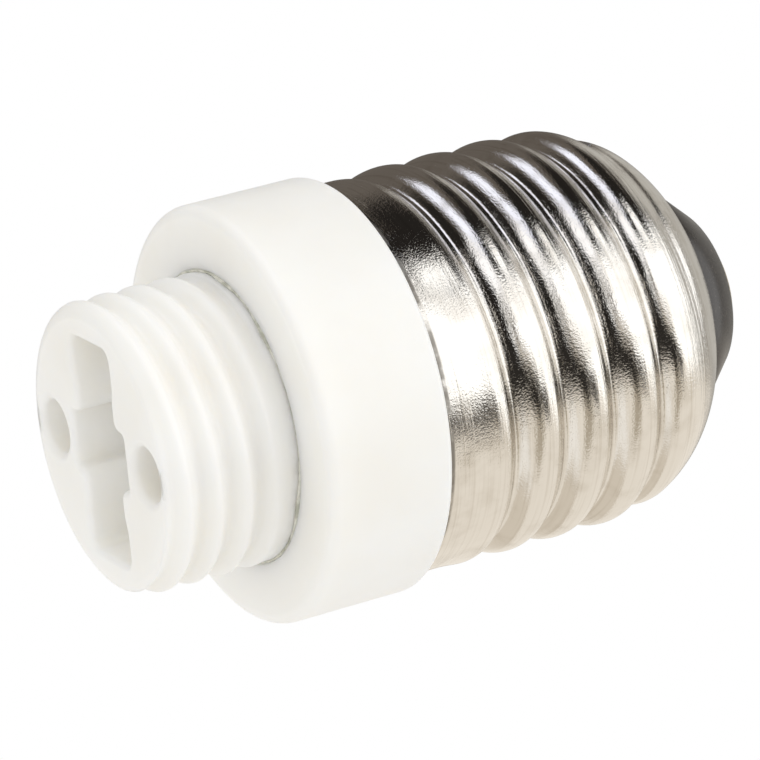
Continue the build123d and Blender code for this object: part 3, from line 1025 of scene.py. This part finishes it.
@dataclass
class CentreContact(Piece):
    """Centre contact: a coned disc with its eyelet shank."""

    bore: float = 0.75 * MM
    shank: float = 1.5 * MM
    foot_radius: float = 2.4 * MM
    foot: float = 0.3 * MM
    flat: float = 2.2 * MM
    disc: float = 0.6 * MM
    edge: float = 0.35 * MM
    edge_round: Bevel = (0.16 * MM, 4)

    def model(self, bm: Shape) -> None:
        """Spins the section and eases the disc's edge.

        Args:
            bm: Mesh that takes the contact.
        """
        low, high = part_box("centre_contact")
        base, top, radius = low.z, high.z, high.x
        seat = top - self.disc
        outline = [
            (self.bore, base), (self.foot_radius, base), (self.foot_radius, base + self.foot),
            (self.shank, base + self.foot), (self.shank, seat), (radius, seat),
            (radius, seat + self.edge), (self.flat, top), (self.bore, top),
        ]
        spin_outline(bm, outline, closed=True)
        round_off(bm, ring_edges(bm, radius, seat + self.edge), *self.edge_round)
        settle(bm)


@dataclass
class TipSolder(Piece):
    """Solder bead on the centre contact: a low cap, set a little unevenly."""

    arcs: int = 14
    turn_steps: int = 64
    unevenness: float = 0.06
    side_pull: float = 4.0
    lump_scale: float = 900.0

    def model(self, bm: Shape) -> None:
        """Spins a cap and pulls it in by slow noise.

        Args:
            bm: Mesh that takes the bead.
        """
        low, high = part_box("tip_solder")
        radius, height = high.x, high.z - low.z
        ball = (radius ** 2 + height ** 2) / (2 * height)
        reach = asin(radius / ball)
        outline = [(0.0, low.z)]
        for i in range(self.arcs + 1):
            lean = reach * (1 - i / self.arcs)
            outline.append((ball * sin(lean), high.z - ball + ball * cos(lean)))
        spin_outline(bm, outline, closed=False, steps=self.turn_steps)
        for vert in bm.verts:
            lump = 1.0 - self.unevenness * (0.5 + 0.5 * noise.noise(vert.co * self.lump_scale))
            share = (vert.co.z - low.z) / height
            vert.co.x *= 1.0 - self.unevenness * share * (1.0 - lump) * self.side_pull
            vert.co.z = low.z + (vert.co.z - low.z) * lump
        settle(bm, NO_LEVEL_FACE)


@dataclass
class SeamBond(Piece):
    """Bonding compound that was squeezed up between the nose and the collar's bore."""

    inner: float = 9.5 * MM
    outer: float = 9.65 * MM
    level: float = 9.17 * MM
    depth: float = 0.6 * MM
    turn_steps: int = 288
    spots: tuple[Span, ...] = (
        (222.0, 9.0), (292.0, 13.0), (150.0, 26.0), (40.0, 12.0), (190.0, 9.0)
    )
    spot_rise: float = 0.24 * MM
    spot_roughness: Span = (0.75, 0.25)
    rough_scale: float = 1500.0

    def model(self, bm: Shape) -> None:
        """Spins the ring and lifts its face where the compound came up.

        Args:
            bm: Mesh that takes the compound.
        """
        outline = [
            (self.inner, self.level), (self.outer, self.level),
            (self.outer, self.level + self.depth), (self.inner, self.level + self.depth),
        ]
        spin_outline(bm, outline, closed=True, steps=self.turn_steps)
        for vert in bm.verts:
            if vert.co.z < self.level + MERGE_DISTANCE:
                angle = atan2(vert.co.y, vert.co.x)
                rise = 0.0
                for centre, reach in self.spots:
                    away = (angle - radians(centre) + pi) % tau - pi
                    rise += exp(-((away / radians(reach)) ** 2))
                even, uneven = self.spot_roughness
                rough = even + uneven * noise.noise(vert.co * self.rough_scale)
                vert.co.z -= self.spot_rise * min(1.0, rise) * rough
        settle(bm, NO_LEVEL_FACE)


@dataclass(frozen=True)
class TentPatch:
    """A part of the reflection tent, between bearings in degrees, with soft edges."""

    name: str
    across: Span
    rise: Span
    edge: float
    glow: Triple

    def cover(self, across: Signal, rise: Signal) -> Signal:
        """How far the patch covers a bearing.

        Args:
            across: Degrees from the camera's side towards the right.
            rise: Degrees upwards.

        Returns:
            1 inside the patch, 0 outside.
        """
        factor: Any = 1.0
        for value, limits in ((across, self.across), (rise, self.rise)):
            factor = value.step(limits[0] - self.edge, limits[0] + self.edge) * factor
            factor = value.step(limits[1] + self.edge, limits[1] - self.edge) * factor
        return factor


TABLE_GLOW: Colour = (0.92, 0.86, 0.77, 1.0)
TENT_PATCHES = tuple(TentPatch(*row) for row in (
    ("table_left", (-190, -20), (-400, -30), 12, (0.74, 0.67, 0.57)),
    ("table_glare", (-76, -24), (-400, -42), 10, (1.0, 0.97, 0.92)),
    ("table_shade", (20, 58), (-70, -30), 8, (0.50, 0.44, 0.35)),
    ("room", (-400, 400), (-5, 400), 3, (0.14, 0.122, 0.106)),
    ("back_wall", (124, 172), (-5, 44), 6, (0.55, 0.53, 0.49)),
    ("ceiling_right", (-5, 400), (52, 400), 8, (0.02, 0.018, 0.016)),
    ("soft_box_frame", (-5, 126), (34, 60), 4, (0.02, 0.018, 0.016)),
    ("camera_side", (-100, -5), (-38, 42), 5, (0.02, 0.018, 0.016)),
    ("sky_panel", (-122, 4), (51, 73), 4, (1.2, 1.24, 1.42)),
    ("panel_foot", (-40, 4), (20, 50), 4, (1.3, 1.3, 1.34)),
    ("narrow_panel", (-17, -5), (-9, 24), 3, (1.2, 1.2, 1.2)),
    ("table_edge", (-60, 46), (-38, -12), 4, (0.03, 0.027, 0.024)),
    ("table_edge_right", (46, 74), (-28, -13), 3, (0.09, 0.083, 0.075)),
    ("soft_box", (7, 118), (-2, 40), 2.5, (1.5, 1.5, 1.5)),
    ("soft_box_foot", (42, 118), (-12, 5), 2.5, (1.5, 1.5, 1.48)),
    ("second_box", (38, 82), (36, 62), 3, (1.4, 1.4, 1.4)),
    ("second_box_shade", (44, 54), (39, 47), 3, (0.30, 0.30, 0.29)),
))


@dataclass
class Studio:
    """Camera, floor, light and reflection tent, set up in the photograph's own directions."""

    aim: float = 20.3 * MM
    distance: float = 371.5 * MM
    tilt: float = 64.07
    roll: float = 15.11
    turn: float = -20.5
    side_shift: float = -0.27 * MM
    focal_pixels: float = 5754.65
    image_pixels: float = 760.0
    sensor: float = 36.0
    ambient: float = 0.95
    floor_size: float = 3.0
    floor_cells: int = 8
    floor_drop: float = 0.02 * MM
    floor_fade: Span = (0.16, 0.04)
    floor_cloud: Grain = Grain(6.0)
    floor_tones: tuple[Colour, Colour] = ((0.93, 0.93, 0.92, 1.0), (0.90, 0.90, 0.89, 1.0))
    lamp_place: Triple = (0.27, 0.25, 0.23)
    lamp_size: Span = (0.24, 0.20)
    lamp_radiance: float = 2.0
    tent_radius: float = 1.2
    tent_cells: tuple[int, int] = (96, 48)
    tent_map: str = "bearings"

    def __post_init__(self) -> None:
        """Works out the picture's right, up and back directions in the adapter's frame."""
        turned = Matrix.Rotation(radians(self.turn), 3, "Z")
        lean, spin = radians(self.tilt), radians(self.roll)
        self.back = turned @ Vector((0.0, -sin(lean), -cos(lean)))
        rise = turned @ Vector((0.0, -cos(lean), sin(lean)))
        self.side = self.back.cross(rise)
        self.right = cos(spin) * rise - sin(spin) * self.side
        self.up = sin(spin) * rise + cos(spin) * self.side
        self.centre = Vector((0.0, 0.0, self.aim))
        self.axes = Matrix((self.right, self.up, self.back)).transposed().to_4x4()

    def camera(self) -> None:
        """Makes the camera at the photograph's viewing angle."""
        data = bpy.data.cameras.new("photo_camera")
        data.sensor_width = self.sensor
        data.lens = self.sensor * self.focal_pixels / self.image_pixels
        camera = bpy.data.objects.new("photo_camera", data)
        bpy.context.scene.collection.objects.link(camera)
        eye = self.centre + self.side * self.side_shift + self.back * self.distance
        camera.matrix_world = Matrix.Translation(eye) @ self.axes
        bpy.context.scene.camera = camera

    def world(self) -> None:
        """White where the camera or a reflection sees it, softer as a light."""
        world = bpy.data.worlds.new("white_studio")
        bpy.context.scene.world = world
        sheet = NodeSheet(world)
        shown = sheet.rays("Is Camera Ray", "Is Glossy Ray", "Is Transmission Ray").step(0.0, 1.0)
        strength = shown * (1.0 - self.ambient) + self.ambient
        inputs = {"Color": PURE_WHITE, "Strength": strength}
        sheet.surface(sheet.node("ShaderNodeBackground", None, inputs))

    def floor(self) -> None:
        """Pale floor under the nose; it shows only from above, so the camera below sees past it."""
        bm = bmesh.new()
        bmesh.ops.create_grid(
            bm, x_segments=self.floor_cells, y_segments=self.floor_cells,
            size=self.floor_size / 2, matrix=Matrix.Translation((0.0, 0.0, -self.floor_drop)),
        )
        material = bpy.data.materials.new("pale_floor")
        sheet = NodeSheet(material)
        above = sheet.signal("ShaderNodeNewGeometry", output="Backfacing").step(1.0, 0.0)
        near = sheet.radius_and_height()[0].step(*self.floor_fade)
        shown = sheet.rays("Is Camera Ray") * above * near
        pale = sheet.blend(sheet.noise(self.floor_cloud), *self.floor_tones)
        matt = sheet.node("ShaderNodeBsdfDiffuse", None, {"Color": pale})
        clear = sheet.node("ShaderNodeBsdfTransparent")
        inputs = {0: shown, 1: clear.outputs[0], 2: matt.outputs[0]}
        sheet.surface(sheet.node("ShaderNodeMixShader", None, inputs))
        mesh_object("pale_floor", bm, material)

    def lamp(self) -> None:
        """Adds a soft box that faces the adapter and leaves the reflections to the tent."""
        width, height = self.lamp_size
        data = bpy.data.lights.new("soft_box", "AREA")
        data.shape = "RECTANGLE"
        data.size, data.size_y = width, height
        data.energy = self.lamp_radiance * pi * width * height
        lamp = bpy.data.objects.new("soft_box", data)
        bpy.context.scene.collection.objects.link(lamp)
        right, up, back = self.lamp_place
        place = self.centre + self.right * right + self.up * up + self.back * back
        lamp.location = place
        lamp.visible_glossy = False
        lamp.rotation_mode = "QUATERNION"
        lamp.rotation_quaternion = (self.centre - place).to_track_quat("-Z", "Y")

    def tent(self) -> None:
        """Adds a tent that only reflections see: table, dark room and light panels."""
        bm = bmesh.new()
        upright = Matrix.Rotation(-pi / 2, 4, "X")
        bmesh.ops.create_uvsphere(
            bm, u_segments=self.tent_cells[0], v_segments=self.tent_cells[1],
            radius=self.tent_radius, matrix=Matrix.Translation(self.centre) @ self.axes @ upright,
        )
        bearings = bm.loops.layers.uv.new(self.tent_map)
        for face in bm.faces:
            middle = self._bearing(face.calc_center_median())[0]
            for loop in face.loops:
                across, rise = self._bearing(loop.vert.co)
                loop[bearings].uv = (across + 360.0 * round((middle - across) / 360.0), rise)
        material = bpy.data.materials.new("reflection_tent")
        material.cycles.emission_sampling = "NONE"
        sheet = NodeSheet(material)
        across, rise, _ = sheet.split(sheet.signal("ShaderNodeUVMap", {"uv_map": self.tent_map}))
        colour: Any = TABLE_GLOW
        for patch in TENT_PATCHES:
            colour = sheet.blend(patch.cover(across, rise), colour, (*patch.glow, 1.0))
        sheet.surface(sheet.node("ShaderNodeEmission", None, {"Color": colour, "Strength": 1.0}))
        tent = mesh_object("reflection_tent", bm, material)
        for kind in ("camera", "diffuse", "shadow", "transmission"):
            setattr(tent, f"visible_{kind}", False)

    def _bearing(self, place: Vector) -> Span:
        """Direction of a place as seen from the adapter.

        Args:
            place: Place in the adapter's frame.

        Returns:
            Degrees from the camera's side towards the picture's right, and degrees upwards.
        """
        away = (place - self.centre).normalized()
        across = degrees(atan2(away.dot(self.right), away.dot(self.back)))
        return across, degrees(asin(max(-1.0, min(1.0, away.dot(self.up)))))

    def build(self) -> None:
        """Sets up the whole studio."""
        bpy.context.scene.view_settings.view_transform = "Standard"
        self.camera()
        self.world()
        self.floor()
        self.lamp()
        self.tent()


def dress_solids() -> None:
    """Gives the CAD nodes that stay in view their own finishes."""
    finishes: dict[str, Finish] = {
        "contact_clip_a": SPRING,
        "contact_clip_b": SPRING,
        "contact_cover": WHITE,
        "cover_rivets": BRASS,
        "bond_bead": BOND,
        "tip_lead": SLEEVE,
        "shell_lead": SLEEVE,
        "shell_solder": SOLDER,
    }
    for name, finish in finishes.items():
        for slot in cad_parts[name].material_slots:
            slot.material = finish.material()
        log.info("%s: %s", name, finish.name)


def main() -> None:
    """Builds the studio and every piece in order."""
    logging.basicConfig(level=logging.INFO, format="%(message)s")
    Studio().build()
    pieces: list[Piece] = [
        ScrewShell("rolled_screw_shell", Slot.NICKEL, NICKEL, ("screw_shell",)),
        CollarHousing("moulded_collar", Slot.WHITE, WHITE, ("collar_housing",)),
        SocketInsert("threaded_nose", Slot.WHITE, WHITE, ("socket_insert",)),
        TipInsulator("cone_insulator", Slot.BLACK, BLACK, ("tip_insulator",)),
        CentreContact("centre_disc", Slot.BRASS, BRASS, ("centre_contact",)),
        TipSolder("centre_solder_bead", Slot.SOLDER, SOLDER, ("tip_solder",)),
        SeamBond("seam_bond", Slot.BOND, BOND),
    ]
    for piece in pieces:
        piece.build()
    dress_solids()


if __name__ == "__main__":
    main()
